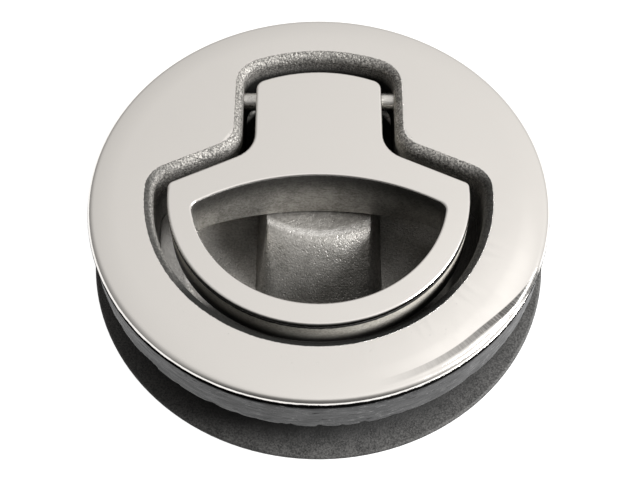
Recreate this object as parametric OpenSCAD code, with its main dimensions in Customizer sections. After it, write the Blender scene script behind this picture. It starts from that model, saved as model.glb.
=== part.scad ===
// Flush pull ring latch: a round polished flange with a recessed pull ring that works a spring bolt.
// Millimetres. The origin is on the barrel axis at the panel surface under the gasket, +Z points out
// of the polished face, and the bolt throws towards +Y.

/* [Flange] */
// Outside diameter of the flange
flange_d = 61; // [59:0.5:68]
// Thickness of the flange
flange_t = 1.5; // [1.3:0.1:3]
// Rounding of the flange rim
rim_r = 1; // [0.5:0.1:1.1]
// Width of the polished roll-off inside the rim
roll_w = 3; // [1:0.5:5]
// Fall of the roll-off
roll_drop = 0.15; // [0.05:0.05:0.2]

/* [Gasket] */
// Thickness of the gasket
gasket_t = 5.8; // [4.8:0.1:6.8]
// Step of the gasket edge inside the flange edge
gasket_inset = 0.1; // [0:0.1:1]
// Rounding of the gasket edges
gasket_edge_r = 0.3; // [0.1:0.1:1]

/* [Barrel] */
// Outside diameter of the barrel thread
thread_d = 50.8; // [50.6:0.1:53]
// Depth of the barrel thread
thread_depth = 0.5; // [0.3:0.05:0.6]
// Reach of the barrel below the panel surface
barrel_len = 20.5; // [20:0.5:26]
// Wall of the barrel
barrel_wall = 2.5; // [2:0.1:3]
// Wall of the pocket and floors
wall = 2; // [1.5:0.1:2.5]

/* [Ring nut] */
// Outside diameter of the nut flange
nut_d = 63; // [60:0.5:68]
// Thickness of the nut flange at its rim
nut_flange_t = 1.2; // [1:0.1:1.7]
// Thickness of the nut flange at the hub
nut_root_t = 1.8; // [1.8:0.1:2.2]
// Rounding of the nut edges
nut_edge_r = 0.4; // [0.2:0.1:0.5]
// Radial clearance of the nut on the barrel
nut_clear = 0.1; // [0.05:0.05:0.2]
// Diameter of the nut hub
nut_hub_d = 57; // [55:0.5:58]
// Height of the whole nut
nut_h = 3.8; // [3:0.1:4]
// Distance between the gasket and the nut, the panel thickness
panel_t = 7.3; // [5:0.1:7.4]
// Number of spanner notches
nut_notches = 8; // [4:1:12]
// Width of a spanner notch
notch_w = 5; // [3:0.5:7]
// Depth of a spanner notch
notch_depth = 1.6; // [1:0.1:2]

/* [Handle] */
// Outer radius of the ring
ring_r = 20; // [19:0.1:20.5]
// Distance from the axis to the back edge of the hub
hub_back_r = 20.4; // [20:0.1:21]
// Width of the neck
neck_w = 17.4; // [16:0.1:18]
// Corner radius at the back of the hub
hub_corner_r = 1.6; // [1:0.1:3]
// Fillet between neck and shoulder
neck_fillet_r = 4.2; // [3:0.1:5]
// Corner radius at the end of the shoulder
shoulder_corner_r = 1; // [0.6:0.1:2]
// Slope of the shoulders
shoulder_a = 26; // [22:1:30]
// Height of the shoulder line above the axis, taken where it crosses it
shoulder_y = 11.1; // [10.5:0.1:11.5]
// Rounding of the polished top edges
handle_edge_r = 0.35; // [0.1:0.05:0.5]
// Depth of the hub
hub_depth = 9; // [8.5:0.1:9.5]
// Distance from the back edge of the opening to the full depth of the hub
hub_front = 0.6; // [0.3:0.1:1]
// Run of the slope under the arms of the ring
arm_run = 4.1; // [3.5:0.1:5]
// Depth of the ring where it leaves the hub
arm_depth = 6.8; // [6:0.1:7.5]
// Depth of the ring at its front
ring_depth = 4.5; // [3.5:0.1:5.5]

/* [Finger opening] */
// Inner radius of the ring
opening_r = 16.85; // [16:0.05:17.2]
// Radius of the bowed back edge of the opening
opening_back_r = 32; // [28:1:40]
// Height of the back edge above the axis
opening_back_y = 2.6; // [2:0.1:3]
// Corner radius of the opening
opening_corner_r = 1.3; // [0.8:0.1:2]

/* [Pocket] */
// Gap around the ring
ring_gap = 1.9; // [1.7:0.1:2.2]
// Gap beside the neck
neck_gap = 1.8; // [1.6:0.1:2.2]
// Gap behind the hub
back_gap = 2.7; // [2.4:0.1:3]
// Gap above the shoulders
shoulder_gap = 1.8; // [1.6:0.1:2.2]
// Fillet of the pocket between neck and shoulder
pocket_fillet_r = 4; // [3:0.1:5]
// Rounding of the pocket lip
lip_r = 1.4; // [0.6:0.1:1.6]
// Depth of the finger bowl
bowl_depth = 16.4; // [16:0.1:16.5]
// Fillet round the bowl floor
bowl_r = 4; // [2:0.5:6]
// Step of the bowl wall inside the pocket wall
bowl_step = 0.1; // [0.05:0.05:0.3]

/* [Hump] */
// Half width of the hump at its roof
hump_half_w = 7.2; // [6.5:0.1:8]
// Distance from the axis forward to the front edge of the roof
hump_front = 0.5; // [0:0.1:1.2]
// Radius of the bowed front edge
hump_bow_r = 12.7; // [11.5:0.1:14]
// Slope of the front in degrees
hump_slope_a = 45; // [42:1:50]
// Slope of the flanks in degrees
hump_flank_a = 78; // [72:1:80]
// Width of the rounding along the roof edge
hump_edge_w = 1.2; // [0.6:0.1:1.5]
// Corner radius between front and flanks at the roof
hump_corner_r = 0.8; // [0.4:0.1:1.2]
// Softness of the valley at the foot
hump_foot_r = 0.9; // [0.5:0.1:1]

/* [Pivot] */
// Diameter of the pivot pin
pin_d = 2.5; // [2:0.1:3]
// Distance from the axis back to the pin
pin_y = 17.3; // [17:0.1:17.5]
// Depth of the pin axis under the face
pin_depth = 3; // [2.8:0.1:3.2]
// Radial clearance of the pin in the handle
pin_run_clear = 0.05; // [0.02:0.01:0.08]
// Radial clearance of the pin in the body
pin_fit_clear = 0.01; // [0.01:0.01:0.03]
// Step of the pin ends inside the barrel
pin_inset = 0.4; // [0.2:0.1:1]

/* [Tail and bolt] */
// Distance from the pin to the centre of the rounded tail end
tail_len = 13.8; // [13.5:0.1:14]
// Thickness of the tail
tail_t = 4; // [3:0.1:4]
// Width of the tail
tail_w = 6; // [5:0.1:7]
// Clearance around the swinging tail
tail_clear = 0.6; // [0.5:0.1:0.8]
// Swing of the handle in degrees
swing = 40; // [30:1:40]
// Width of the bolt
bolt_w = 10; // [8:0.1:11]
// Height of the bolt
bolt_h = 5.9; // [5.5:0.1:6]
// Reach of the bolt nose beyond the barrel thread
bolt_throw = 9; // [7:0.1:10]
// Length of the bolt
bolt_len = 31.4; // [29:0.1:32]
// Run of the bevel under the nose
bevel_run = 6; // [4:0.1:8]
// Height of the blunt nose above the bevel
nose_h = 1.8; // [1:0.1:3]
// Thickness of the lug
lug_t = 2.6; // [2:0.1:3]
// Free play between tail and lug at rest
lug_play = 0.4; // [0.35:0.05:0.6]
// Running clearance around the bolt
bolt_clear = 0.15; // [0.1:0.05:0.25]

/* [Bolt spring] */
// Wire diameter of the spring
wire_d = 0.6; // [0.4:0.05:0.8]
// Outside diameter of the spring
spring_d = 4.2; // [3.6:0.1:4.4]
// Turns of the spring
spring_turns = 12; // [8:1:14]
// Depth of the spring bore in the bolt
spring_bore = 14; // [12:0.5:16]
// Radial clearance round the spring
spring_clear = 0.2; // [0.1:0.05:0.3]
// Gap between the closed turns at each end
end_turn_gap = 0.1; // [0.05:0.05:0.2]
// Length of channel behind the bolt
spring_room = 13.5; // [12:0.5:14]

/* [Keeper] */
// Thickness of the keeper plate
plate_t = 1.4; // [1.2:0.1:1.8]
// Diameter of the keeper screws
screw_d = 2.5; // [2:0.1:3]
// Diameter of the countersunk screw heads
screw_head_d = 4.4; // [4:0.1:5]
// Length of the keeper screws
screw_len = 6; // [5:0.5:7]
// Distance of the side screws from the middle
screw_x = 9.6; // [9.4:0.1:10]
// Distance of the side screws from the axis
screw_y = 12; // [10:0.5:14]
// Radius of a screw boss
boss_r = 2.8; // [2.6:0.1:3]
// Radial clearance of the screws in the plate
plate_clear = 0.1; // [0.05:0.05:0.2]
// Radial clearance of the screw shanks in the bosses
boss_clear = 0.015; // [0.01:0.005:0.03]
// Width of the hexagon socket over its corners
socket_d = 1.5; // [1.2:0.1:1.8]
// Depth of the hexagon socket
socket_depth = 1.1; // [0.8:0.1:1.5]

/* [Hidden] */
$fn = 96;

// Steps of the sampled arcs
back_steps = 8;
corner_steps = 6;
fillet_steps = 7;
ring_steps = 26;
lip_steps = 6;
// Angle at which a rounded edge runs out through the face
lip_end_a = 75;
roll_steps = 10;
hump_steps = 14;
// Share of its width at which the rounding of the hump's edge leaves the roof
hump_edge_share = 0.23;
// Growth of the hump's corner radius with its fall
hump_corner_flare = 0.4;
// Depth at which the hump's foot runs out under the bowl floor
hump_sink = 0.25;

// Small overlap that keeps joined volumes and cuts from sharing faces
over = 0.5;
// Rise of the rounded cuts above the face
cut_rise = 0.1;
// Gap between parts that rest side by side
seat_gap = 0.3;

face_z = gasket_t + flange_t;
flange_r = flange_d / 2;
barrel_r = thread_d / 2 - thread_depth;
barrel_in_r = barrel_r - barrel_wall;
hub_z = face_z - hub_depth;
shelf_z = hub_z - seat_gap;
bowl_z = face_z - bowl_depth;
pocket_r = ring_r + ring_gap;
pin_z = face_z - pin_depth;
pin_r = pin_d / 2;

tail_end_z = pin_z - tail_len;
tail_end_r = tail_t / 2;
travel = tail_len * sin(swing);
bolt_top_z = tail_end_z - tail_end_r - seat_gap;
bolt_z = bolt_top_z - bolt_h;
channel_top_z = bolt_top_z + bolt_clear;
channel_z = bolt_z - bolt_clear;
channel_half_w = bolt_w / 2 + bolt_clear;
nose_y = thread_d / 2 + bolt_throw;
bolt_tail_y = nose_y - bolt_len;
lug_back_y = pin_y - tail_end_r - lug_play;
lug_top_z = pin_z - tail_len * cos(swing) + tail_end_r / 2;
channel_end_y = bolt_tail_y - spring_room;

housing_half_w = channel_half_w + wall + seat_gap;
housing_end_y = channel_end_y - wall;
front_screw_y = housing_end_y - boss_r + seat_gap;
screws = [[0, front_screw_y], [screw_x, screw_y], [-screw_x, screw_y]];

cavity_half_w = tail_w / 2 + tail_clear;
cavity_front_y = lug_back_y - lug_t - travel - tail_clear;
cavity_back_y = pin_y + tail_end_r + tail_clear;
slot_front_y = pin_y - (pin_z - shelf_z + wall) * tan(swing) - tail_end_r / cos(swing) - seat_gap;

// Outline values: ring radius, back radius, half width of the neck, corner at the back, fillet at the neck,
// corner at the shoulder end, distance outside the handle's shoulder line
handle_bell = [ring_r, hub_back_r, neck_w / 2, hub_corner_r, neck_fillet_r, shoulder_corner_r, 0];
pocket_bell = [pocket_r, hub_back_r + back_gap, neck_w / 2 + neck_gap, hub_corner_r + neck_gap,
               pocket_fillet_r, shoulder_corner_r + shoulder_gap, shoulder_gap];

along = [cos(shoulder_a), -sin(shoulder_a)];
outward = [sin(shoulder_a), cos(shoulder_a)];

function arc(c, r, a0, a1, steps, first = 0) =
    [for (i = [first:steps]) let (a = a0 + (a1 - a0) * i / steps) c + r * [cos(a), sin(a)]];

function mirrored(half) = concat(half, [for (i = [len(half) - 2:-1:1]) [-half[i].x, half[i].y]]);

// Centre of the rounded shoulder end, inside the ring circle and under the shoulder line
function shoulder_end(b) =
    let (start = [0, shoulder_y] + outward * (b[6] - b[5]), s = start * along)
    start + along * (sqrt(s * s - start * start + pow(b[0] - b[5], 2)) - s);

// Centre of the rounded corner at the back of the neck
function back_corner(b) = [b[2] - b[3], sqrt(pow(b[1] - b[3], 2) - pow(b[2] - b[3], 2))];

// Centre of the fillet between neck and shoulder
function neck_fillet(b) =
    let (line = [0, shoulder_y] + outward * (b[6] + b[4]))
    line + along * ((b[2] + b[4] - line.x) / along.x);

function shoulder_and_ring(b, g) =
    let (c = shoulder_end(b), a = atan2(c.y, c.x))
    concat(arc(c, b[5] + g, 90 - shoulder_a, a, corner_steps), arc([0, 0], b[0] + g, a, -90, ring_steps, 1));

// Bell outline grown by g: bowed back, neck, fillet, sloped shoulder and ring
function bell(b, g = 0) =
    let (c = back_corner(b), a = atan2(c.y, c.x))
    mirrored(concat(
        arc([0, 0], b[1] + g, 90, a, back_steps),
        arc(c, b[3] + g, a, 0, corner_steps, 1),
        arc(neck_fillet(b), b[4] - g, 180, 270 - shoulder_a, fillet_steps),
        shoulder_and_ring(b, g)));

// Lower part of the bell alone, with its shoulder lines carried on to the middle
function bell_lower(b, g = 0) =
    mirrored(concat([[0, shoulder_y + (b[6] + g) / outward.y]], shoulder_and_ring(b, g)));

// Outline of the finger opening grown by g
function opening(g = 0) =
    let (low = opening_back_y - opening_back_r,
         a = opening_r - opening_corner_r,
         b = opening_back_r - opening_corner_r,
         y = (a * a - b * b + low * low) / (2 * low),
         c = [sqrt(a * a - y * y), y],
         a_back = atan2(c.y - low, c.x),
         a_ring = atan2(c.y, c.x))
    mirrored(concat(
        arc([0, low], opening_back_r + g, 90, a_back, 2 * back_steps),
        arc(c, opening_corner_r + g, a_back, a_ring, corner_steps, 1),
        arc([0, 0], opening_r + g, a_ring, -90, ring_steps, 1)));

// Quarter round up to the face as pairs of inward growth and height
function round_top(r) =
    [for (i = [0:lip_steps]) let (a = 90 * i / lip_steps) [-r * (1 - cos(a)), face_z - r + r * sin(a)]];

// Rounded lip of a cut as pairs of outward growth and height, carried on straight through the face
function round_lip(r) =
    let (bend = [for (i = [0:lip_steps]) let (a = lip_end_a * i / lip_steps)
             [r * (1 - cos(a)), face_z - r + r * sin(a)]],
         last = bend[lip_steps],
         top = face_z + cut_rise)
    concat(bend, [[last[0] + (top - last[1]) * tan(lip_end_a), top]]);

// Closed solid through level mirrored outlines of equal point counts. Its end faces are strips across the
// middle, from each point to its mirror image.
module loft(rings, heights) {
    n = len(rings[0]);
    m = len(rings);
    last = (m - 1) * n;
    half = n / 2;
    polyhedron(
        points = [for (i = [0:m - 1]) for (p = rings[i]) [p.x, p.y, heights[i]]],
        faces = concat(
            [[0, n - 1, 1], [half - 1, half + 1, half]],
            [for (j = [1:half - 2]) [j, n - j, n - j - 1, j + 1]],
            [for (i = [0:m - 2]) for (j = [0:n - 1]) let (k = (j + 1) % n)
                [i * n + j, i * n + k, (i + 1) * n + k, (i + 1) * n + j]],
            [[last, last + 1, last + n - 1], [last + half - 1, last + half, last + half + 1]],
            [for (j = [1:half - 2]) [last + j, last + j + 1, last + n - j - 1, last + n - j]]));
}

// Box between two corners
module block(low, high) {
    translate(low) cube(high - low);
}

// Outline in the Y and Z directions, extruded evenly to both sides of the middle
module across(width) {
    rotate([90, 0, 90]) linear_extrude(width, center = true) children();
}

// Round bar along X through a point in the middle plane
module cross_bar(r, length, y, z) {
    translate([0, y, z]) rotate([0, 90, 0]) cylinder(r = r, h = length, center = true);
}

module flange() {
    roll_r = flange_r - rim_r;
    edge_z = face_z - roll_drop;
    rotate_extrude() polygon(concat(
        [[barrel_in_r, gasket_t], [barrel_in_r, face_z]],
        [for (i = [0:roll_steps]) let (t = i / roll_steps)
            [roll_r - roll_w * (1 - t), face_z - roll_drop * t * t]],
        arc([roll_r, edge_z - rim_r], rim_r, 90 - atan(2 * roll_drop / roll_w), 0, 2 * corner_steps, 1),
        [[flange_r, gasket_t]]));
    translate([0, 0, gasket_t]) cylinder(r = barrel_in_r + over, h = flange_t);
}

// Pocket of the handle with a rounded lip, level at the shelf under the hub
module pocket() {
    lip = round_lip(lip_r);
    intersection() {
        loft(concat([bell(pocket_bell)], [for (e = lip) bell(pocket_bell, e[0])]),
             concat([bowl_z], [for (e = lip) e[1]]));
        block([-flange_r, -flange_r, shelf_z], [flange_r, flange_r, face_z + 2 * over]);
    }
}

// Deeper finger bowl below the ring
module bowl() {
    intersection() {
        translate([0, 0, bowl_z - over]) linear_extrude(shelf_z - bowl_z + 2 * over)
            polygon(bell_lower(pocket_bell, -bowl_step));
        rotate_extrude() polygon(concat(
            [[0, shelf_z + over], [0, bowl_z]],
            arc([pocket_r - bowl_r, bowl_z + bowl_r], bowl_r, -90, 0, 2 * corner_steps),
            [[pocket_r + over, bowl_z + bowl_r], [pocket_r + over, shelf_z + over]]));
    }
}

// Outline of the hump at a level: straight flanks and a bowed front, which spread towards the foot
function hump_ring(z) =
    let (fall = shelf_z - z + pow(hump_foot_r, 2) / (4 * (z - bowl_z + hump_sink)),
         start = hump_edge_w * hump_edge_share,
         run = start + fall / tan(hump_slope_a),
         r = hump_bow_r + run - start + pow(hump_edge_w, 2) / 4 * (1 / start - 1 / run),
         e = hump_corner_r + hump_corner_flare * max(fall, 0),
         w = hump_half_w + fall / tan(hump_flank_a),
         bow_y = hump_bow_r - hump_front,
         c = [w - e, bow_y - sqrt(pow(r - e, 2) - pow(w - e, 2))],
         a = atan2(c.y - bow_y, c.x))
    mirrored(concat(
        [[0, cavity_back_y], [w, cavity_back_y]],
        arc(c, e, 0, a, corner_steps),
        arc([0, bow_y], r, a, -90, back_steps, 1)));

// Hump that roofs the swing of the tail, which the pocket cuts level with the shelf
module hump() {
    low = bowl_z - hump_sink / 2;
    top = shelf_z + hump_edge_w * hump_edge_share / 2 * tan(hump_slope_a);
    levels = [for (i = [0:hump_steps]) let (t = i / hump_steps) low + (top - low) * t * t * (3 - 2 * t)];
    rings = [for (z = levels) hump_ring(z)];
    loft(concat([rings[0]], rings), concat([low - over], levels));
}

// Walls below the flange: barrel, pocket shell, bolt housing and screw bosses
module casting() {
    flange();
    difference() {
        translate([0, 0, -barrel_len]) cylinder(r = barrel_r, h = barrel_len + gasket_t + over);
        translate([0, 0, -barrel_len - over]) cylinder(r = barrel_in_r, h = barrel_len + gasket_t + over);
    }
    intersection() {
        union() {
            translate([0, 0, shelf_z - wall]) linear_extrude(gasket_t + over - shelf_z + wall)
                polygon(bell(pocket_bell, wall));
            translate([0, 0, bowl_z - wall]) linear_extrude(gasket_t + over - bowl_z + wall)
                polygon(bell_lower(pocket_bell, wall));
            block([-housing_half_w, housing_end_y, channel_z], [housing_half_w, barrel_r, shelf_z - over]);
            for (s = screws)
                translate([s.x, s.y, channel_z]) cylinder(r = boss_r, h = shelf_z - wall + over - channel_z);
        }
        translate([0, 0, channel_z]) cylinder(r = barrel_r - over / 2, h = face_z - channel_z);
    }
}

module body() {
    color("gainsboro") difference() {
        casting();
        pocket();
        difference() {
            bowl();
            hump();
        }
        block([-cavity_half_w, slot_front_y, shelf_z - wall - over],
              [cavity_half_w, cavity_back_y, shelf_z + over]);
        block([-cavity_half_w, cavity_front_y, channel_top_z - over],
              [cavity_half_w, cavity_back_y, shelf_z - wall]);
        block([-channel_half_w, channel_end_y, -barrel_len - over],
              [channel_half_w, flange_r, channel_top_z]);
        cross_bar(pin_r + pin_fit_clear, flange_d, pin_y, pin_z);
        for (s = screws)
            translate([s.x, s.y, channel_z - over])
                cylinder(r = screw_d / 2 + boss_clear, h = screw_len + over);
    }
}

// Side view of the handle: flat top, hub turned about the pin at the back, slope to the thinner ring
module handle_side() {
    hub_turn_r = pin_z - hub_z;
    polygon(concat(
        [[-flange_r, face_z + over], [-flange_r, face_z - ring_depth], [-ring_r, face_z - ring_depth],
         [opening_back_y + hub_front - arm_run, face_z - arm_depth],
         [opening_back_y + hub_front, hub_z]],
        arc([pin_y, pin_z], hub_turn_r, -90, 0, 2 * corner_steps),
        [[pin_y + hub_turn_r, face_z + over]]));
}

module handle() {
    top = round_top(handle_edge_r);
    lip = round_lip(handle_edge_r);
    color("whitesmoke") difference() {
        union() {
            intersection() {
                loft(concat([bell(handle_bell)], [for (e = top) bell(handle_bell, e[0])]),
                     concat([hub_z - over], [for (e = top) e[1]]));
                across(flange_d) handle_side();
            }
            across(tail_w) translate([pin_y - tail_end_r, tail_end_z]) square([tail_t, tail_len - pin_d]);
            cross_bar(tail_end_r, tail_w, pin_y, tail_end_z);
        }
        loft(concat([opening()], [for (e = lip) opening(e[0])]),
             concat([hub_z - 2 * over], [for (e = lip) e[1]]));
        cross_bar(pin_r + pin_run_clear, flange_d, pin_y, pin_z);
    }
}

module pivot_pin() {
    length = 2 * (sqrt(barrel_r * barrel_r - pin_y * pin_y) - pin_inset);
    color("silver") cross_bar(pin_r, length, pin_y, pin_z);
}

module gasket() {
    r = flange_r - gasket_inset;
    e = gasket_edge_r;
    color("dimgray") rotate_extrude() polygon(concat(
        [[thread_d / 2 + seat_gap, 0]],
        arc([r - e, e], e, -90, 0, corner_steps),
        arc([r - e, gasket_t - e], e, 0, 90, corner_steps),
        [[thread_d / 2 + seat_gap, gasket_t]]));
}

module ring_nut() {
    hub_r = nut_hub_d / 2;
    bore_r = barrel_r + nut_clear;
    rim_x = nut_d / 2 - nut_edge_r;
    color("black") translate([0, 0, -panel_t]) difference() {
        rotate_extrude() polygon(concat(
            [[bore_r, -nut_h], [hub_r - nut_edge_r, -nut_h], [hub_r, nut_edge_r - nut_h]],
            [[hub_r, -nut_root_t], [rim_x, -nut_flange_t]],
            arc([rim_x, -nut_edge_r], nut_edge_r, 0, 90, corner_steps),
            [[bore_r, 0]]));
        for (i = [0:nut_notches - 1])
            rotate([0, 0, 360 * (i + 0.5) / nut_notches])
                block([hub_r - notch_depth, -notch_w / 2, -nut_h - over],
                      [nut_d / 2, notch_w / 2, -nut_root_t]);
    }
}

module bolt() {
    color("gray") difference() {
        union() {
            across(bolt_w) polygon([
                [bolt_tail_y, bolt_z], [nose_y - bevel_run, bolt_z], [nose_y, bolt_top_z - nose_h],
                [nose_y, bolt_top_z], [bolt_tail_y, bolt_top_z]]);
            block([-tail_w / 2, lug_back_y - lug_t, bolt_top_z - over], [tail_w / 2, lug_back_y, lug_top_z]);
        }
        translate([0, bolt_tail_y - over, (bolt_z + bolt_top_z) / 2]) rotate([-90, 0, 0])
            cylinder(d = spring_d + 2 * spring_clear, h = spring_bore + over);
    }
}

// Compression spring between the channel end and the bottom of the bolt's bore, with closed ends
module bolt_spring() {
    length = spring_room + spring_bore - wire_d;
    coil_r = (spring_d - wire_d) / 2;
    sides = 8;
    per_turn = 14;
    count = spring_turns * per_turn;
    pitch_turns = spring_turns - 2;
    function rise(u) = let (dead = wire_d + end_turn_gap, free = length - 2 * dead)
        u < 1 ? dead * u : u > spring_turns - 1 ? length - dead * (spring_turns - u)
        : dead + free * (u - 1) / pitch_turns;
    points = [for (i = [0:count]) for (j = [0:sides - 1])
        let (a = 360 * i / per_turn, b = 360 * j / sides, r = coil_r + wire_d / 2 * cos(b))
        [r * cos(a), r * sin(a), rise(i / per_turn) + wire_d / 2 * sin(b)]];
    color("lightgray")
        translate([0, channel_end_y + wire_d / 2, (bolt_z + bolt_top_z) / 2]) rotate([-90, 0, 0])
            polyhedron(points = points, faces = concat(
                [[for (j = [0:sides - 1]) j]],
                [for (i = [0:count - 1]) for (j = [0:sides - 1]) let (k = (j + 1) % sides)
                    [i * sides + j, (i + 1) * sides + j, (i + 1) * sides + k, i * sides + k]],
                [[for (j = [sides - 1:-1:0]) count * sides + j]]));
}

// Countersunk screw shape with its head face at level 0 and the shank upwards
module screw_form(clear = 0) {
    head_r = screw_head_d / 2 + clear;
    shank_r = screw_d / 2 + clear;
    cylinder(r1 = head_r, r2 = shank_r, h = head_r - shank_r);
    cylinder(r = shank_r, h = screw_len);
}

module keeper_plate() {
    low = channel_z - plate_t;
    end_y = barrel_in_r - wall;
    color("silver") difference() {
        translate([0, 0, low]) linear_extrude(plate_t) {
            translate([-housing_half_w, housing_end_y]) square([2 * housing_half_w, end_y - housing_end_y]);
            for (s = screws) translate(s) circle(boss_r);
            translate([-screw_x, screw_y - boss_r]) square([2 * screw_x, 2 * boss_r]);
        }
        for (s = screws) translate([s.x, s.y, low]) screw_form(plate_clear);
    }
}

module keeper_screws() {
    color("silver") for (s = screws)
        translate([s.x, s.y, channel_z - plate_t]) difference() {
            screw_form();
            translate([0, 0, -over]) cylinder(d = socket_d, h = over + socket_depth, $fn = 6);
        }
}

body();
handle();
pivot_pin();
gasket();
ring_nut();
bolt();
bolt_spring();
keeper_plate();
keeper_screws();
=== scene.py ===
"""Looks of a flush pull ring latch: polished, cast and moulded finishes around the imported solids."""
import math
import random

import bpy
from mathutils import Matrix, Vector, noise


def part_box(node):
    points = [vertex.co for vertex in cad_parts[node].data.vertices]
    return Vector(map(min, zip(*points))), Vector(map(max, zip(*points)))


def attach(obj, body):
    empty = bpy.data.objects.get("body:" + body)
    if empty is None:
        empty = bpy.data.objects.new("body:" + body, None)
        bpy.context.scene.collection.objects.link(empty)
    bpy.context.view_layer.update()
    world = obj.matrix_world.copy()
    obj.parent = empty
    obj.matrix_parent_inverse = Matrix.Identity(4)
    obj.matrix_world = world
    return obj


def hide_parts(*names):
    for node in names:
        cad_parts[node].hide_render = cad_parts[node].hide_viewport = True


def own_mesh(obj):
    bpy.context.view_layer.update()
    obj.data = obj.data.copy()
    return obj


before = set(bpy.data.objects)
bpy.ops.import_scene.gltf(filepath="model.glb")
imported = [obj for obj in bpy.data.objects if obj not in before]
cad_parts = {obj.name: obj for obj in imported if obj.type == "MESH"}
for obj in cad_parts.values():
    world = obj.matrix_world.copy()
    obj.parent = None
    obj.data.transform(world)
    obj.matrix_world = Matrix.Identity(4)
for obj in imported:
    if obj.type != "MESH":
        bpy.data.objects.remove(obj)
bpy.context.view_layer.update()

MM = 0.001
SEED = 7

# Places and sizes that follow from the frame
BODY_LOW, BODY_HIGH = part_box("body")
GASKET_LOW, GASKET_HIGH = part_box("gasket")
BOLT_LOW, BOLT_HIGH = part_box("bolt")
SPRING_LOW, SPRING_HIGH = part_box("bolt_spring")
FACE_Z = BODY_HIGH.z
FLOOR_Z = BODY_LOW.z

# Camera of the photograph: distance and height of view over the face, aim on the face, focal length in pixels
IMAGE_W = 640
SENSOR_W = 36
CAMERA_DISTANCE = 162 * MM
CAMERA_ELEVATION = math.radians(55.41)
CAMERA_ROLL = math.radians(0.186)
CAMERA_AIM = Vector((0.17 * MM, -7.66 * MM, FACE_Z))
CAMERA_NEAR = 10 * MM
FOCAL_PIXELS = 1229

# Surround: brightness at the back and sides, on the dark side of the camera, of the glow, and share in shadows
SURROUND_LIGHT = 1.0
SURROUND_DARK = 0.24
SURROUND_FILL = 0.5
SURROUND_GLOW = 0.28
SURROUND_TINT = (1.0, 0.985, 0.965)
# Directions in which the dark side ends and the glow lies, and how brightness grows upwards and to the right
DARK_SIDE_Y = (-0.88, -0.35)
GLOW_WAY = Vector((0.2, 0.42, 0.885)).normalized()
GLOW_EDGE = 0.987
RISE_GAIN, RISE_BASE = 0.5, 0.5
SIDE_GAIN, SIDE_BASE = 0.5, 0.98

# Key light: direction in degrees, distance and size in metres, radiance
KEY_AZIMUTH, KEY_ELEVATION = -12, 36
KEY_DISTANCE = 0.6
KEY_SIZE = (0.3, 0.2)
KEY_RADIANCE = 46.0

# Floor
FLOOR_HALF = 3.0
FLOOR_GREY = 0.2

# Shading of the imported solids: edges below this angle are smooth, split vertices closer than this are joined
SMOOTH_ANGLE = math.radians(32)
JOIN_DISTANCE = 0.0005 * MM

# Barrel thread: sizes, end taper in steps, shares of the pitch at the foot and the crest
THREAD_CREST_R = 25.4 * MM
THREAD_ROOT_R = 24.9 * MM
THREAD_PITCH = 2.0 * MM
THREAD_TOP = -0.6 * MM
THREAD_END_MARGIN = 0.9 * MM
THREAD_SUNK = 0.15 * MM
THREAD_TURN_STEP = math.radians(3)
THREAD_FADE_STEPS = 8
THREAD_FADE_START = 0.2
THREAD_FOOT_SHARE = 0.40
THREAD_CREST_SHARE = 0.09
THREAD_END_SHARE = 0.35
SLOT_HALF_W = 5.5 * MM

# Gasket: section, seam below the rim, divisions
GASKET_IN_R = 25.7 * MM
GASKET_EDGE_R = 0.3 * MM
GASKET_ROWS = 14
GASKET_STEPS = 720
SEAM_H = 0.35 * MM
SEAM_DEPTH = 0.9 * MM
# Uneven outer wall: depth, mean inward share, features round the ring and along a millimetre of height
UNEVEN_DEPTH = 0.035 * MM
UNEVEN_SHARE = 0.6
UNEVEN_TURN = 14
UNEVEN_RISE = 0.9
# Nicks: number, share on the lower edge, ranges in millimetres
GASKET_NICKS = 80
NICKS_LOW = 0.6
NICK_LENGTH = (0.3, 1.1)
NICK_RISE = (0.25, 0.7)
NICK_DEPTH = (0.1, 0.5)

# Bolt spring: wire, turns, divisions, pitch of the closed ends in wire radii
WIRE_R = 0.3 * MM
SPRING_TURNS = 12
SPRING_STEPS = 28
WIRE_SIDES = 12
CLOSED_PITCH = 2.2

# Colours of the steel
POLISHED = (0.80, 0.775, 0.745)
CAST_DARK, CAST_LIGHT = (0.29, 0.278, 0.258), (0.54, 0.522, 0.495)
LIP_DARK, LIP_LIGHT = (0.10, 0.096, 0.09), (0.40, 0.385, 0.36)
# Walls of the ring: the outer wall's colours are much paler than the inner's, as painted light from the front
INNER_DARK, INNER_LIGHT = (0.16, 0.152, 0.135), (0.46, 0.442, 0.408)
OUTER_DARK, OUTER_LIGHT = (0.56, 0.525, 0.455), (0.97, 0.93, 0.84)
PIN_DARK, PIN_LIGHT = (0.42, 0.41, 0.39), (0.70, 0.68, 0.65)
PLATE_DARK, PLATE_LIGHT = (0.44, 0.435, 0.425), (0.66, 0.65, 0.635)
BOLT_DARK, BOLT_LIGHT = (0.40, 0.395, 0.38), (0.64, 0.63, 0.61)
THREAD_DARK, THREAD_LIGHT = (0.36, 0.35, 0.33), (0.6, 0.585, 0.56)
# Dark tone of the rim streak: brushed lines with a painted dark reflection
STREAK = (0.05, 0.049, 0.047)
# Pale worn metal on the hump's edge, also a painted highlight
WORN_HIGHLIGHT = (0.86, 0.84, 0.81)
# Painted shade: dark tone laid into hollows, grooves and gaps
PAINTED_SHADE_TONE = (0.02, 0.02, 0.019)
# Black of the painted shadow in the seam under the rim and on the gasket's top, and of the gouges in the rubber
BLACK = (0.004, 0.004, 0.004)

# Colours of the rubber and the nylon
RUBBER_DARK, RUBBER_LIGHT = (0.009, 0.009, 0.0095), (0.026, 0.026, 0.027)
CHAFED = (0.34, 0.34, 0.335)
NYLON_DARK, NYLON_LIGHT = (0.014, 0.014, 0.0135), (0.086, 0.084, 0.081)
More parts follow.
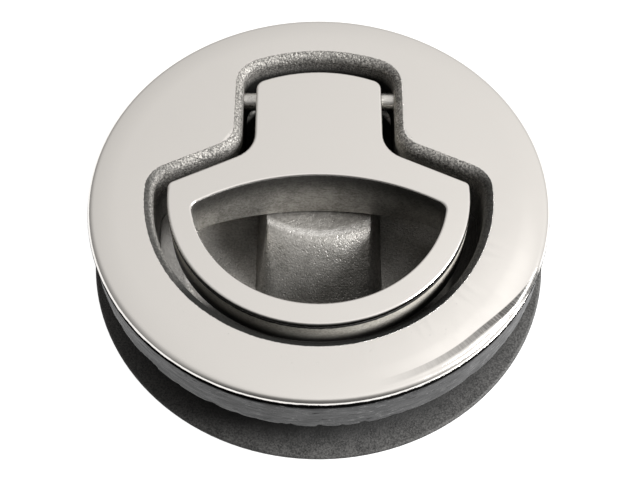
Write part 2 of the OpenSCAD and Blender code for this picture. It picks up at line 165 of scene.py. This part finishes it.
# Painted shade on the nut towards the barrel, under the gasket
NYLON_PAINTED_SHADE = (0.012, 0.012, 0.012)

# Share of metal in the cast skin and in the ring's outer wall, and gloss of what isn't metal
CAST_METAL = 0.72
OUTER_METAL = 0.35
PLAIN_GLOSS = 0.5

# Millimetres in which the finishes change, as ranges from none to full
FACE = FACE_Z / MM
RIM_R = (26.2, 26.6)
RIM_Z = (6.27, 6.35)
UNDER_RIM_Z = (5.2, 5.4)
GROOVE_R = (18.5, 19.5)
RING_OUT_R = (18.2, 19.0)
NECK_Y = (7.0, 9.0)
# Radii over which the nut's painted shade gives way to its own tone
NUT_SHADE_R = (26.5, 31.3)
# Upper edge of the hump, an arc about a point behind it
HUMP_ARC_R = 12.7
HUMP_ARC_Y = 12.16
# Streak on the rim, brushed lines with a painted dark reflection: angles in radians of its ends, its sweep and
# its deepening, radius where it starts
STREAK_IN, STREAK_OUT = (-1.35, -0.95), (-0.43, -0.36)
STREAK_SWEEP = (-0.84, -0.35)
STREAK_DEEPEN = (-1.1, -0.6)
STREAK_R = (28.3, 30.0)
ROLL_START = 0.75
ROLL_REACH = 0.55
ROLL_FALL = 0.4


class Finish:
    """A material whose nodes are added by short calls, with places in millimetres of the part's frame."""

    def __init__(self, name):
        self.material = bpy.data.materials.new(name)
        self.material.use_nodes = True
        self.tree = self.material.node_tree
        self.shader = self.tree.nodes["Principled BSDF"]
        spot = self.add("ShaderNodeTexCoord").outputs
        scaled = self.add("ShaderNodeVectorMath", {0: spot["Object"], "Scale": 1 / MM}, operation="SCALE")
        self.place = scaled.outputs[0]
        self.x, self.y, self.z = self.add("ShaderNodeSeparateXYZ", {0: self.place}).outputs
        self.up = self.add("ShaderNodeSeparateXYZ", {0: spot["Normal"]}).outputs[2]

    def add(self, kind, inputs=None, **settings):
        """Adds a node with its settings, and its inputs as numbers or links."""
        node = self.tree.nodes.new(kind)
        for name, value in settings.items():
            setattr(node, name, value)
        for key, value in (inputs or {}).items():
            self.put(node.inputs[key], value)
        return node

    def put(self, socket, value):
        """Links or sets one input."""
        if isinstance(value, bpy.types.NodeSocket):
            self.tree.links.new(value, socket)
        else:
            socket.default_value = value

    def set(self, **values):
        """Sets shader inputs by name, with underscores for spaces."""
        for name, value in values.items():
            self.put(self.shader.inputs[name.replace("_", " ")], value)

    def math(self, operation, a, b=0.0):
        return self.add("ShaderNodeMath", {0: a, 1: b}, operation=operation).outputs[0]

    def plus(self, a, b):
        return self.math("ADD", a, b)

    def minus(self, a, b):
        return self.math("SUBTRACT", a, b)

    def times(self, a, b):
        return self.math("MULTIPLY", a, b)

    def most(self, a, b):
        return self.math("MAXIMUM", a, b)

    def without(self, a):
        """What a share leaves of the whole."""
        return self.minus(1.0, a)

    def blend(self, a, share, b):
        """Sum of two values, the first with its share and the second with the rest."""
        return self.plus(self.times(a, share), self.times(b, 1 - share))

    def ramp(self, value, low, high, start=0.0, end=1.0):
        """Smooth step of a value between two limits."""
        limits = {"Value": value, "From Min": low, "From Max": high, "To Min": start, "To Max": end}
        return self.add("ShaderNodeMapRange", limits, interpolation_type="SMOOTHSTEP").outputs["Result"]

    def fade(self, value, low, high, start=1.0):
        """Smooth fall to nothing between two limits."""
        return self.ramp(value, low, high, start, 0.0)

    def tint(self, factor, a, b):
        """Mix of two colours."""
        node = self.add("ShaderNodeMix", data_type="RGBA")
        self.put(node.inputs[0], factor)
        for socket, value in ((node.inputs[6], a), (node.inputs[7], b)):
            self.put(socket, (*value, 1) if isinstance(value, tuple) else value)
        return node.outputs[2]

    def mix(self, factor, a, b):
        """Mix of two numbers."""
        return self.add("ShaderNodeMix", {0: factor, 2: a, 3: b}, data_type="FLOAT").outputs[0]

    def lean(self, factor, a, b):
        """Mix of two directions."""
        return self.add("ShaderNodeMix", {0: factor, 4: a, 5: b}, data_type="VECTOR").outputs[1]

    def noise(self, scale, detail=3.0, roughness=0.55, vector=None):
        """Noise with about scale features a millimetre."""
        inputs = {"Vector": vector or self.place, "Scale": scale, "Detail": detail, "Roughness": roughness}
        return self.add("ShaderNodeTexNoise", inputs).outputs["Fac"]

    def stretched(self, x, y, z):
        """Places scaled by an amount for each direction, for brushed and drawn grain."""
        inputs = {0: self.place, 1: (x, y, z)}
        return self.add("ShaderNodeVectorMath", inputs, operation="MULTIPLY").outputs[0]

    def round_place(self, radial, turn, height):
        """Places as radius, angle and height, each scaled, for grain that follows the axis."""
        parts = {0: self.times(self.radius(), radial), 1: self.times(self.turn(), turn),
                 2: self.times(self.z, height)}
        return self.add("ShaderNodeCombineXYZ", parts).outputs[0]

    def turn(self):
        return self.math("ARCTAN2", self.y, self.x)

    def radius(self, centre_y=0.0):
        """Distance from an axis in the middle plane, the barrel's own unless a place is given."""
        back = self.minus(self.y, centre_y)
        return self.math("SQRT", self.plus(self.times(self.x, self.x), self.times(back, back)))

    def depth(self):
        """Depth below the polished face."""
        return self.minus(FACE, self.z)

    def bump(self, height, depth, strength=1.0, normal=None):
        """Relief of a given depth in millimetres."""
        node = self.add("ShaderNodeBump", {"Height": height, "Distance": depth * MM, "Strength": strength})
        if normal is not None:
            self.put(node.inputs["Normal"], normal)
        return node.outputs[0]


def cast_grain(f):
    """Height of the fine casting grain with scattered pits."""
    fine = f.noise(4.5, detail=4, roughness=0.62)
    pits = f.add("ShaderNodeTexVoronoi", {"Vector": f.place, "Scale": 1.7}, feature="F1").outputs["Distance"]
    return f.plus(fine, f.ramp(pits, 0.0, 0.35, -0.5, 0.0))


def lip_zone(f):
    """Share of the rough lip: the top of every pocket wall, further down in the groove round the ring."""
    reach = f.ramp(f.radius(), 17.5, 18.5, 0.0, 2.5)
    return f.fade(f.minus(f.depth(), reach), 1.4, 3.6)


def painted_shade_zone(f):
    """Share of painted shade: neck pocket, groove at the front, bowl under the ring, edge of the lower lip."""
    depth, radius = f.depth(), f.radius()
    groove = f.ramp(radius, *GROOVE_R)
    neck = f.times(f.ramp(f.y, *NECK_Y), f.ramp(depth, 1.6, 3.4))
    front = f.times(f.fade(f.y, -16.0, -7.0), groove)
    right = f.times(f.ramp(f.x, 6.0, 14.0, 0.0, 0.8), groove)
    edge = f.times(f.fade(depth, 0.2, 0.8, 0.85), groove)
    lower = f.times(f.most(right, edge), f.fade(f.y, 1.0, 6.0))
    bowl_front = f.times(f.fade(f.y, -9.0, -5.0, 0.95), f.ramp(radius, 12.5, 14.5))
    bowl_side = f.times(f.fade(f.y, 2.0, 6.0, 0.72), groove)
    under = f.times(f.most(bowl_front, bowl_side), f.ramp(depth, 3.0, 5.0))
    return f.most(f.most(neck, under), f.most(front, lower))


def cast_colour(f, lip_share, painted_shade):
    """Warm grey of the cast skin: mottled in the bowl, speckled along the lip, dark with painted shade in the
    hollows and grooves.
    """
    mottle = f.blend(f.noise(0.3, detail=2), 0.35, f.noise(3.2, detail=4))
    skin = f.tint(f.ramp(mottle, 0.3, 0.72), CAST_DARK, CAST_LIGHT)
    speckle = f.noise(3.6, detail=3, roughness=0.75)
    lip = f.tint(f.ramp(speckle, 0.38, 0.66), LIP_DARK, LIP_LIGHT)
    return f.tint(painted_shade, f.tint(lip_share, skin, lip), PAINTED_SHADE_TONE)


def worn_edge_highlight(f):
    """Share of the rubbed upper edge of the hump in the finger bowl, an arc seen from above, painted pale as
    worn metal and as a painted highlight.
    """
    off = f.math("ABSOLUTE", f.minus(f.radius(HUMP_ARC_Y), HUMP_ARC_R))
    level = f.times(f.ramp(f.z, -3.6, -2.4), f.fade(f.z, -1.6, -1.4))
    broken = f.ramp(f.noise(1.4, detail=3), 0.3, 0.6, 0.45, 1.0)
    return f.times(f.times(f.fade(off, 0.1, 0.75), level), broken)


def rim_streak(f, radius):
    """Brushed streak on the rim at the lower right, darkened as a painted dark reflection, and the deeper
    roll-off outside it, as share and height.
    """
    turn = f.turn()
    sector = f.times(f.ramp(turn, *STREAK_IN), f.fade(turn, *STREAK_OUT))
    inside = f.minus(radius, f.ramp(turn, *STREAK_SWEEP, *STREAK_R))
    band = f.times(f.ramp(inside, 0.0, 0.15), f.fade(inside, 0.75, 1.15))
    lines = f.noise(1.0, detail=4, roughness=0.65, vector=f.round_place(radial=0.5, turn=240.0, height=1.0))
    hatch = f.ramp(lines, 0.3, 0.65, 0.68, 1.0)
    strength = f.ramp(turn, *STREAK_DEEPEN, 0.5, 1.0)
    share = f.times(f.times(band, sector), f.times(hatch, strength))
    fall = f.math("MINIMUM", f.most(f.minus(inside, ROLL_START), 0.0), ROLL_REACH)
    height = f.times(f.times(fall, fall), f.times(sector, -ROLL_FALL))
    return share, height


def body_finish():
    """Polished face and rim, black painted shadow at the seam under the rim, cast lip, pocket and underside,
    with painted shade in the hollows, a painted dark reflection on the rim and a painted highlight on the hump's
    worn edge.
    """
    f = Finish("polished_and_cast_steel")
    radius = f.radius()
    wander = f.times(f.minus(f.noise(2.6, detail=4, roughness=0.65), 0.5), 0.10)
    level = f.ramp(f.plus(f.up, wander), 0.955, 0.985)
    top = f.times(level, f.ramp(f.z, FACE - 0.4, FACE - 0.2))
    outside = f.ramp(radius, *RIM_R)
    ragged = f.noise(1.0, detail=3, roughness=0.6, vector=f.round_place(radial=1.0, turn=24.0, height=0.5))
    above_seam = f.ramp(f.minus(f.z, f.times(ragged, 0.3)), *RIM_Z)
    polish = f.most(top, f.times(outside, above_seam))
    streak, roll = rim_streak(f, radius)

    lip, painted_shade, lighter = lip_zone(f), painted_shade_zone(f), worn_edge_highlight(f)
    # Painted shadow of the seam gap: black on the rim's lower edge
    seam_shadow = f.times(outside, f.minus(f.ramp(f.z, *UNDER_RIM_Z), above_seam))
    dull = f.most(seam_shadow, painted_shade)
    rough = f.most(lip, painted_shade)
    cast = f.tint(lighter, f.tint(seam_shadow, cast_colour(f, lip, painted_shade), BLACK), WORN_HIGHLIGHT)
    cast_rough = f.mix(lighter, f.ramp(f.noise(1.3, detail=4), 0.3, 0.7, 0.28, 0.42), 0.24)
    cast_rough = f.mix(rough, cast_rough, 0.58)
    buff = f.noise(1.0, detail=3, roughness=0.5, vector=f.round_place(radial=0.35, turn=14.0, height=1.0))
    polished_rough = f.mix(streak, f.ramp(buff, 0.3, 0.75, 0.10, 0.17), 0.4)
    f.set(Metallic=f.mix(polish, f.mix(dull, CAST_METAL, 0.0), 1.0),
          Base_Color=f.tint(polish, cast, f.tint(streak, POLISHED, STREAK)),
          Specular_IOR_Level=f.mix(dull, PLAIN_GLOSS, 0.0),
          Roughness=f.mix(polish, cast_rough, polished_rough))
    grain = f.times(cast_grain(f), f.without(polish))
    grain = f.times(grain, f.ramp(rough, 0.0, 1.0, 1.0, 1.8))
    f.set(Normal=f.bump(grain, 0.06, normal=f.bump(roll, 1.0)))
    return f.material


def handle_finish():
    """Polished flat top, linished hub wall and cast flanks of the pull ring; the outer wall is painted pale as
    painted light, with painted shade down the gaps and along the top of the inner walls.
    """
    f = Finish("polished_handle_steel")
    depth = f.depth()
    outer = f.most(f.ramp(f.radius(), *RING_OUT_R), f.ramp(f.y, 6.0, 7.0))
    fray = f.times(f.minus(f.noise(1.6, detail=4), 0.5), 0.35)
    edge = f.plus(f.minus(f.z, f.mix(outer, FACE - 0.2, FACE - 0.7)), fray)
    polish = f.ramp(edge, -0.08, 0.08)

    strokes = f.noise(1.0, detail=4, roughness=0.6, vector=f.stretched(0.5, 9.0, 10.0))
    speckle = f.noise(3.0, detail=3, roughness=0.7)
    shade = f.plus(f.times(strokes, 0.4), f.times(speckle, 0.35))
    shade = f.ramp(f.plus(shade, f.times(f.noise(0.5, detail=4), 0.25)), 0.36, 0.64)
    # The outer wall's pale colours are painted light from the front
    wall = f.tint(outer, f.tint(shade, INNER_DARK, INNER_LIGHT), f.tint(shade, OUTER_DARK, OUTER_LIGHT))
    # Painted shade: outer wall darker down into the gap and in a line under the polished edge, inner walls
    # darker along their top
    outer_painted_shade = f.most(f.ramp(depth, 2.0, 4.2, 0.0, 0.97), f.ramp(edge, -0.55, -0.3))
    inner_painted_shade = f.fade(depth, 0.8, 5.0, 0.75)
    wall = f.tint(f.mix(outer, inner_painted_shade, outer_painted_shade), wall, PAINTED_SHADE_TONE)
    wall_rough = f.ramp(strokes, 0.3, 0.7, 0.32, 0.5)
    buff = f.noise(0.6, detail=3, roughness=0.5, vector=f.stretched(0.4, 1.5, 1.0))
    polished_rough = f.ramp(buff, 0.3, 0.7, 0.11, 0.18)
    f.set(Metallic=f.mix(polish, f.mix(outer, CAST_METAL, OUTER_METAL), 1.0),
          Base_Color=f.tint(polish, wall, POLISHED),
          Roughness=f.mix(polish, wall_rough, polished_rough))

    relief = f.plus(strokes, f.times(cast_grain(f), 0.6))
    rounded = f.bump(f.times(relief, f.without(polish)), 0.03, 0.7)
    flat = f.add("ShaderNodeNewGeometry").outputs["True Normal"]
    f.set(Normal=f.lean(f.ramp(f.z, FACE - 0.01, FACE - 0.004), rounded, flat))
    return f.material


def drawn_finish(name, dark, light, along):
    """Machined or drawn steel with grain along one direction."""
    f = Finish(name)
    grain = f.noise(1.0, detail=4, roughness=0.6, vector=f.stretched(*along))
    mottle = f.blend(grain, 0.55, f.noise(0.45, detail=3))
    soft_edge = f.add("ShaderNodeBevel", {"Radius": 0.12 * MM}, samples=4).outputs[0]
    f.set(Metallic=1.0, Base_Color=f.tint(f.ramp(mottle, 0.35, 0.65), dark, light),
          Roughness=f.ramp(grain, 0.3, 0.7, 0.24, 0.42), Normal=f.bump(grain, 0.012, 0.6, soft_edge))
    return f.material


def rubber_finish():
    """Dark grey moulded rubber with scuffs, gouges and dust, with black painted shadow along the seam."""
    f = Finish("gasket_rubber")

    def marks(radial, turn, height, detail=3):
        return f.noise(1.0, detail=detail, roughness=0.6, vector=f.round_place(radial, turn, height))

    scuff = marks(1.0, 9.0, 2.4, detail=4)
    cloud = f.noise(0.5, detail=4)
    dust = f.ramp(f.noise(5.5, detail=2, roughness=0.5), 0.64, 0.76)
    scratch = f.ramp(marks(2.0, 24.0, 5.0), 0.58, 0.68)
    gouge = f.ramp(marks(1.0, 15.0, 2.6), 0.65, 0.7)
    chafe = f.times(f.most(dust, scratch), f.ramp(cloud, 0.35, 0.65, 0.1, 0.6))
    base = f.tint(f.ramp(f.blend(scuff, 0.45, cloud), 0.35, 0.68), RUBBER_DARK, RUBBER_LIGHT)
    # Painted shadow of the seam gap: black along the gasket's top
    top = (GASKET_HIGH.z - SEAM_H) / MM
    ragged = f.times(marks(1.0, 20.0, 0.5), 0.25)
    seam_shadow = f.ramp(f.plus(f.z, ragged), top - 0.1, top + 0.05)
    marked = f.tint(gouge, f.tint(chafe, base, CHAFED), BLACK)
    f.set(Base_Color=f.tint(seam_shadow, marked, BLACK),
          Roughness=f.ramp(scuff, 0.3, 0.7, 0.38, 0.6),
          Specular_IOR_Level=f.mix(f.most(seam_shadow, gouge), PLAIN_GLOSS, 0.05))
    relief = f.plus(f.noise(3.2, detail=4, roughness=0.6), f.times(scuff, 0.8))
    f.set(Normal=f.bump(relief, 0.05, 0.6))
    return f.material


def nylon_finish():
    """Grainy matt black moulding, darker towards the barrel as painted shade under the gasket's overhang."""
    f = Finish("nut_nylon")
    cloud = f.noise(0.4, detail=3)
    shade = f.blend(f.noise(4.2, detail=3, roughness=0.7), 0.8, cloud)
    lighter = f.tint(f.ramp(shade, 0.36, 0.66), NYLON_DARK, NYLON_LIGHT)
    f.set(Base_Color=f.tint(f.ramp(f.radius(), *NUT_SHADE_R), NYLON_PAINTED_SHADE, lighter),
          Roughness=f.ramp(cloud, 0.3, 0.7, 0.55, 0.72), Specular_IOR_Level=0.4)
    f.set(Normal=f.bump(f.noise(3.4, detail=4, roughness=0.65), 0.09, 0.8))
    return f.material


def smooth_modifier_tree():
    """Geometry nodes that join split vertices and shade smooth below an edge angle."""
    tree = bpy.data.node_groups.new("smooth_below_angle", "GeometryNodeTree")
    for way in ("INPUT", "OUTPUT"):
        tree.interface.new_socket("Geometry", in_out=way, socket_type="NodeSocketGeometry")
    start, end = tree.nodes.new("NodeGroupInput"), tree.nodes.new("NodeGroupOutput")
    merge = tree.nodes.new("GeometryNodeMergeByDistance")
    merge.inputs["Distance"].default_value = JOIN_DISTANCE
    fold = tree.nodes.new("GeometryNodeInputMeshEdgeAngle")
    sharp = tree.nodes.new("FunctionNodeCompare")
    sharp.operation = "GREATER_THAN"
    sharp.inputs[1].default_value = SMOOTH_ANGLE
    shade = tree.nodes.new("GeometryNodeSetMeshNormal")
    shade.mode = "SHARPNESS"
    shade.inputs["Remove Custom"].default_value = True
    tree.links.new(start.outputs[0], merge.inputs["Geometry"])
    tree.links.new(fold.outputs["Unsigned Angle"], sharp.inputs[0])
    tree.links.new(sharp.outputs[0], shade.inputs["Edge Sharpness"])
    tree.links.new(merge.outputs[0], shade.inputs["Mesh"])
    tree.links.new(shade.outputs[0], end.inputs[0])
    return tree


def dress_node(name, material, smoothing):
    """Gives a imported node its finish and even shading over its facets."""
    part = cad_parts[name]
    part.data.materials.clear()
    part.data.materials.append(material)
    even = part.modifiers.new("even_shading", "NODES")
    even.node_group = smoothing
    weighted = part.modifiers.new("weighted_normals", "WEIGHTED_NORMAL")
    weighted.keep_sharp = True


def add_mesh(name, vertices, faces, material, body):
    """Makes a smooth mesh piece that rides on a body."""
    mesh = bpy.data.meshes.new(name)
    mesh.from_pydata(vertices, [], faces)
    mesh.update()
    mesh.shade_smooth()
    mesh.materials.append(material)
    piece = bpy.data.objects.new(name, mesh)
    bpy.context.scene.collection.objects.link(piece)
    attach(piece, body)
    return piece


def tube_faces(rings, sides, closed):
    """Quads between rings of equal side counts, and end caps where the tube isn't a loop."""
    faces = []
    for i in range(rings if closed else rings - 1):
        for j in range(sides):
            a, b = i * sides + j, i * sides + (j + 1) % sides
            c, d = (i + 1) % rings * sides + (j + 1) % sides, (i + 1) % rings * sides + j
            faces.append((a, b, c, d))
    if not closed:
        faces.append(tuple(reversed(range(sides))))
        faces.append(tuple(range((rings - 1) * sides, rings * sides)))
    return faces


def gasket_profile():
    """Section of the gasket as radius and height: rounded outer corners, divided wall, seam below the rim."""
    low, high, out = GASKET_LOW.z, GASKET_HIGH.z, GASKET_HIGH.x
    e = GASKET_EDGE_R
    step = high - SEAM_H
    corner = [math.radians(a) for a in (-90, -60, -30, 0)]
    section = [(GASKET_IN_R, low), ((GASKET_IN_R + out) / 2, low)]
    section += [(out - e + e * math.cos(a), low + e + e * math.sin(a)) for a in corner]
    row = (high - SEAM_H - low - 2 * e) / GASKET_ROWS
    section += [(out, low + e + row * i) for i in range(1, GASKET_ROWS)]
    section += [(out - e + e * math.cos(a), step - e - e * math.sin(a)) for a in reversed(corner)]
    section += [(out - SEAM_DEPTH, step), (out - SEAM_DEPTH, high), (GASKET_IN_R, high)]
    return section


def gasket_nicks():
    """Seeded nicks of the outer edges: angle, height, length along the edge, height of the nick and depth."""
    pick = random.Random(SEED)
    nicks = []
    for _ in range(GASKET_NICKS):
        edge = GASKET_LOW.z if pick.random() < NICKS_LOW else GASKET_HIGH.z - SEAM_H
        nicks.append((pick.uniform(-math.pi, math.pi), edge, pick.uniform(*NICK_LENGTH) * MM,
                      pick.uniform(*NICK_RISE) * MM, pick.uniform(*NICK_DEPTH) * MM))
    return nicks


def make_gasket(material):
    """Gasket with a slightly uneven outer wall and nicked edges."""
    section, nicks = gasket_profile(), gasket_nicks()
    vertices = []
    for i in range(GASKET_STEPS):
        turn = 2 * math.pi * i / GASKET_STEPS
        for r, z in section:
            if r > GASKET_HIGH.x - 2 * GASKET_EDGE_R:
                spot = Vector((math.cos(turn) * UNEVEN_TURN, math.sin(turn) * UNEVEN_TURN,
                               z / MM * UNEVEN_RISE))
                r += UNEVEN_DEPTH * (noise.noise(spot) - UNEVEN_SHARE)
                for at, edge, length, rise, depth in nicks:
                    along = math.remainder(turn - at, 2 * math.pi) * r / length
                    across = (z - edge) / rise
                    r -= depth * math.exp(-2 * (along * along + across * across))
            vertices.append((r * math.cos(turn), r * math.sin(turn), z))
    faces = tube_faces(GASKET_STEPS, len(section), True)
    piece = add_mesh("gasket_ring", vertices, faces, material, "housing")
    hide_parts("gasket")


def thread_runs():
    """Angles of the helix, split where the bolt's slot opens the barrel."""
    low = FLOOR_Z + THREAD_END_MARGIN
    total = 2 * math.pi * (THREAD_TOP - low) / THREAD_PITCH
    runs, run = [], []
    for i in range(int(total / THREAD_TURN_STEP) + 1):
        turn = i * THREAD_TURN_STEP
        z = THREAD_TOP - THREAD_PITCH * turn / (2 * math.pi)
        in_slot = z < BOLT_HIGH.z + THREAD_PITCH / 2 and math.sin(turn) > 0
        if in_slot and abs(THREAD_ROOT_R * math.cos(turn)) < SLOT_HALF_W:
            if len(run) > 1:
                runs.append(run)
            run = []
        else:
            run.append((turn, z))
    return runs + [run]


def make_thread(material):
    """Thread ridge around the barrel with a flat crest, tapered to nothing at the ends of each run."""
    foot_r = THREAD_ROOT_R - THREAD_SUNK
    flat = THREAD_CREST_SHARE * THREAD_PITCH
    vertices, faces = [], []
    for run in thread_runs():
        base = len(vertices)
        for i, (turn, z) in enumerate(run):
            from_end = min(i, len(run) - 1 - i) + THREAD_FADE_START
            grow = min(1.0, from_end / THREAD_FADE_STEPS)
            crest_r = THREAD_ROOT_R + (THREAD_CREST_R - THREAD_ROOT_R) * grow
            half = THREAD_FOOT_SHARE * THREAD_PITCH * (THREAD_END_SHARE + (1 - THREAD_END_SHARE) * grow)
            for r, rise in ((foot_r, -half), (crest_r, -flat), (crest_r, flat), (foot_r, half)):
                vertices.append((r * math.cos(turn), r * math.sin(turn), z + rise))
        faces += [tuple(base + k for k in face) for face in tube_faces(len(run), 4, False)]
    thread = add_mesh("barrel_thread", vertices, faces, material, "housing")
    thread.data.shade_flat()


def make_spring(material):
    """Compression spring with closed ends."""
    rings = SPRING_TURNS * SPRING_STEPS + 1
    coil_r = (SPRING_HIGH.x - SPRING_LOW.x) / 2 - WIRE_R
    middle_z = (BOLT_LOW.z + BOLT_HIGH.z) / 2
    start, end = SPRING_LOW.y + WIRE_R, SPRING_HIGH.y - WIRE_R
    closed = CLOSED_PITCH * WIRE_R
    pitch = (end - start - 2 * closed) / (SPRING_TURNS - 2)
    vertices = []
    for i in range(rings):
        turns = i / SPRING_STEPS
        rise = closed * min(turns, 1) + pitch * min(max(turns - 1, 0), SPRING_TURNS - 2)
        rise += closed * max(turns - SPRING_TURNS + 1, 0)
        turn = 2 * math.pi * turns
        for j in range(WIRE_SIDES):
            a = 2 * math.pi * j / WIRE_SIDES
            r = coil_r + WIRE_R * math.cos(a)
            y = start + rise + WIRE_R * math.sin(a)
            vertices.append((r * math.cos(turn), y, middle_z + r * math.sin(turn)))
    faces = tube_faces(rings, WIRE_SIDES, False)
    spring = add_mesh("coil_spring", vertices, faces, material, "housing")
    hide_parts("bolt_spring")
    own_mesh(spring)


def make_camera():
    """Camera at the photograph's viewpoint."""
    place = Vector((0, -math.cos(CAMERA_ELEVATION), math.sin(CAMERA_ELEVATION))) * CAMERA_DISTANCE
    place.z += FACE_Z
    ahead = (CAMERA_AIM - place).normalized()
    right = ahead.cross(Vector((0, 0, 1))).normalized()
    up = right.cross(ahead)
    across = right * math.cos(CAMERA_ROLL) + up * math.sin(CAMERA_ROLL)
    upward = up * math.cos(CAMERA_ROLL) - right * math.sin(CAMERA_ROLL)
    camera = bpy.data.objects.new("camera", bpy.data.cameras.new("camera"))
    turn = Matrix((across, upward, -ahead)).transposed().to_4x4()
    camera.matrix_world = Matrix.Translation(place) @ turn
    camera.data.sensor_width = SENSOR_W
    camera.data.lens = FOCAL_PIXELS / IMAGE_W * SENSOR_W
    camera.data.clip_start = CAMERA_NEAR
    bpy.context.scene.collection.objects.link(camera)
    bpy.context.scene.camera = camera


def make_key():
    """Soft key light that faces the part, with its brightness as radiance."""
    light = bpy.data.lights.new("key_softbox", "AREA")
    light.shape = "RECTANGLE"
    light.size, light.size_y = KEY_SIZE
    light.energy = KEY_RADIANCE * math.pi * KEY_SIZE[0] * KEY_SIZE[1]
    lamp = bpy.data.objects.new("key_softbox", light)
    a, e = math.radians(KEY_AZIMUTH), math.radians(KEY_ELEVATION)
    way = Vector((math.cos(e) * math.cos(a), math.cos(e) * math.sin(a), math.sin(e)))
    lamp.location = way * KEY_DISTANCE
    lamp.rotation_euler = way.to_track_quat("Z", "Y").to_euler()
    bpy.context.scene.collection.objects.link(lamp)


def make_floor():
    """Pale floor that shows white and sends little light back up."""
    mesh = bpy.data.meshes.new("floor")
    corners = [(x * FLOOR_HALF, y * FLOOR_HALF, FLOOR_Z) for x, y in ((-1, -1), (1, -1), (1, 1), (-1, 1))]
    mesh.from_pydata(corners, [], [(0, 1, 2, 3)])
    floor = bpy.data.objects.new("floor", mesh)
    bpy.context.scene.collection.objects.link(floor)
    material = bpy.data.materials.new("floor_white")
    material.use_nodes = True
    tree = material.node_tree
    shader = tree.nodes["Principled BSDF"]
    shader.inputs["Base Color"].default_value = (FLOOR_GREY, FLOOR_GREY, FLOOR_GREY, 1)
    shader.inputs["Roughness"].default_value = 1.0
    shader.inputs["Specular IOR Level"].default_value = 0.0
    shader.inputs["Emission Color"].default_value = (1, 1, 1, 1)
    path = tree.nodes.new("ShaderNodeLightPath")
    seen = tree.nodes.new("ShaderNodeMath")
    seen.operation = "MAXIMUM"
    tree.links.new(path.outputs["Is Camera Ray"], seen.inputs[0])
    tree.links.new(path.outputs["Is Glossy Ray"], seen.inputs[1])
    tree.links.new(seen.outputs[0], shader.inputs["Emission Strength"])
    mesh.materials.append(material)


def make_world():
    """Studio surround: white to the camera, light at the back and sides and dark on the camera's side."""
    world = bpy.data.worlds.new("studio")
    world.use_nodes = True
    bpy.context.scene.world = world
    tree = world.node_tree
    background = tree.nodes["Background"]

    def link(kind, inputs, **settings):
        node = tree.nodes.new(kind)
        for name, value in settings.items():
            setattr(node, name, value)
        for key, value in inputs.items():
            if isinstance(value, bpy.types.NodeSocket):
                tree.links.new(value, node.inputs[key])
            else:
                node.inputs[key].default_value = value
        return node.outputs

    def ramp(value, low, high, start, end):
        limits = {"Value": value, "From Min": low, "From Max": high, "To Min": start, "To Max": end}
        return link("ShaderNodeMapRange", limits, interpolation_type="SMOOTHSTEP")[0]

    def scale_add(value, gain, base):
        return link("ShaderNodeMath", {0: value, 1: gain, 2: base}, operation="MULTIPLY_ADD")[0]

    direction = tree.nodes.new("ShaderNodeTexCoord").outputs["Generated"]
    way = link("ShaderNodeSeparateXYZ", {0: direction})
    back = ramp(way[1], *DARK_SIDE_Y, SURROUND_DARK, SURROUND_LIGHT)
    rise = scale_add(way[2], RISE_GAIN, RISE_BASE)
    side = scale_add(way[0], SIDE_GAIN, SIDE_BASE)
    near_glow = link("ShaderNodeVectorMath", {0: direction, 1: GLOW_WAY}, operation="DOT_PRODUCT")["Value"]
    patch = ramp(near_glow, GLOW_EDGE, 1.0, 0.0, SURROUND_GLOW)
    level = scale_add(rise, side, patch)
    sharp = link("ShaderNodeMath", {0: back, 1: level}, operation="MULTIPLY")[0]
    soft = link("ShaderNodeMath", {0: sharp, 1: SURROUND_FILL}, operation="MULTIPLY")[0]
    path = tree.nodes.new("ShaderNodeLightPath").outputs
    light = link("ShaderNodeMix", {0: path["Is Glossy Ray"], 2: soft, 3: sharp})[0]
    strength = link("ShaderNodeMix", {0: path["Is Camera Ray"], 2: light, 3: 1.0})[0]
    tree.links.new(strength, background.inputs["Strength"])
    background.inputs["Color"].default_value = (*SURROUND_TINT, 1)


make_camera()

pin_steel = drawn_finish("pin_steel", PIN_DARK, PIN_LIGHT, along=(1.5, 5.0, 5.0))
plate_steel = drawn_finish("plate_steel", PLATE_DARK, PLATE_LIGHT, along=(0.4, 6.0, 6.0))
bolt_steel = drawn_finish("bolt_steel", BOLT_DARK, BOLT_LIGHT, along=(6.0, 0.4, 6.0))
thread_steel = drawn_finish("thread_steel", THREAD_DARK, THREAD_LIGHT, along=(2.0, 2.0, 5.0))

smoothing = smooth_modifier_tree()
dress_node("body", body_finish(), smoothing)
dress_node("handle", handle_finish(), smoothing)
dress_node("pivot_pin", pin_steel, smoothing)
dress_node("ring_nut", nylon_finish(), smoothing)
dress_node("bolt", bolt_steel, smoothing)
dress_node("keeper_plate", plate_steel, smoothing)
dress_node("keeper_screws", pin_steel, smoothing)
make_gasket(rubber_finish())
make_thread(thread_steel)
make_spring(pin_steel)

make_floor()
make_world()
make_key()

bpy.context.scene.view_settings.view_transform = "Standard"
